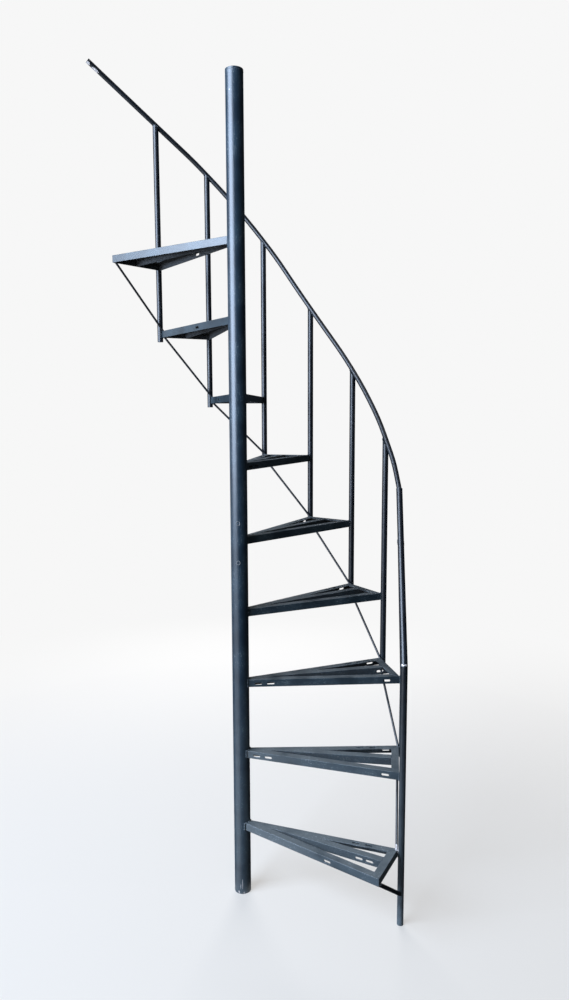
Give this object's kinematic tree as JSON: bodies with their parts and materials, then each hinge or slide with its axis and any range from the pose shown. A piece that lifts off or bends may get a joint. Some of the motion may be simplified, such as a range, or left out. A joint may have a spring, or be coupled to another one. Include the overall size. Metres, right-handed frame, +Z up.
{
  "type": "spiral staircase",
  "caption": "Steel spiral stair: round centre pole, open angle-iron tread frames, round balusters, slanted bracing rods and a bent tube handrail with a free upper end.",
  "frame": {"origin": "centre of the centre pole's flat foot, at floor level", "axes": "+Z up along the centre pole; +X from the pole to the newel post; the stair climbs counterclockwise seen from above"},
  "size_m": [1.1766, 0.739, 2.9033],
  "materials": {
    "pole_paint": "gloss",
    "tread_paint": "gloss",
    "tube_paint": "gloss",
    "rod_paint": "gloss"
  },
  "bodies": {
    "root": {"baluster_3": "tube_paint", "baluster_4": "tube_paint", "baluster_5": "tube_paint", "baluster_6": "tube_paint", "baluster_7": "tube_paint", "baluster_8": "tube_paint", "baluster_9": "tube_paint", "bottom_strut": "rod_paint", "brace_rod_2": "rod_paint", "brace_rod_3": "rod_paint", "brace_rod_4": "rod_paint", "brace_rod_5": "rod_paint", "brace_rod_6": "rod_paint", "brace_rod_7": "rod_paint", "brace_rod_8": "rod_paint", "brace_rod_9": "rod_paint", "center_pole": "pole_paint", "handrail": "tube_paint", "lower_rail": "tube_paint", "newel_post": "tube_paint", "pole_foot_disc": "pole_paint", "pole_top_disc": "pole_paint", "tread_1": "tread_paint", "tread_2": "tread_paint", "tread_3": "tread_paint", "tread_4": "tread_paint", "tread_5": "tread_paint", "tread_6": "tread_paint", "tread_7": "tread_paint", "tread_8": "tread_paint", "tread_9": "tread_paint"}
  },
  "joints": []
}
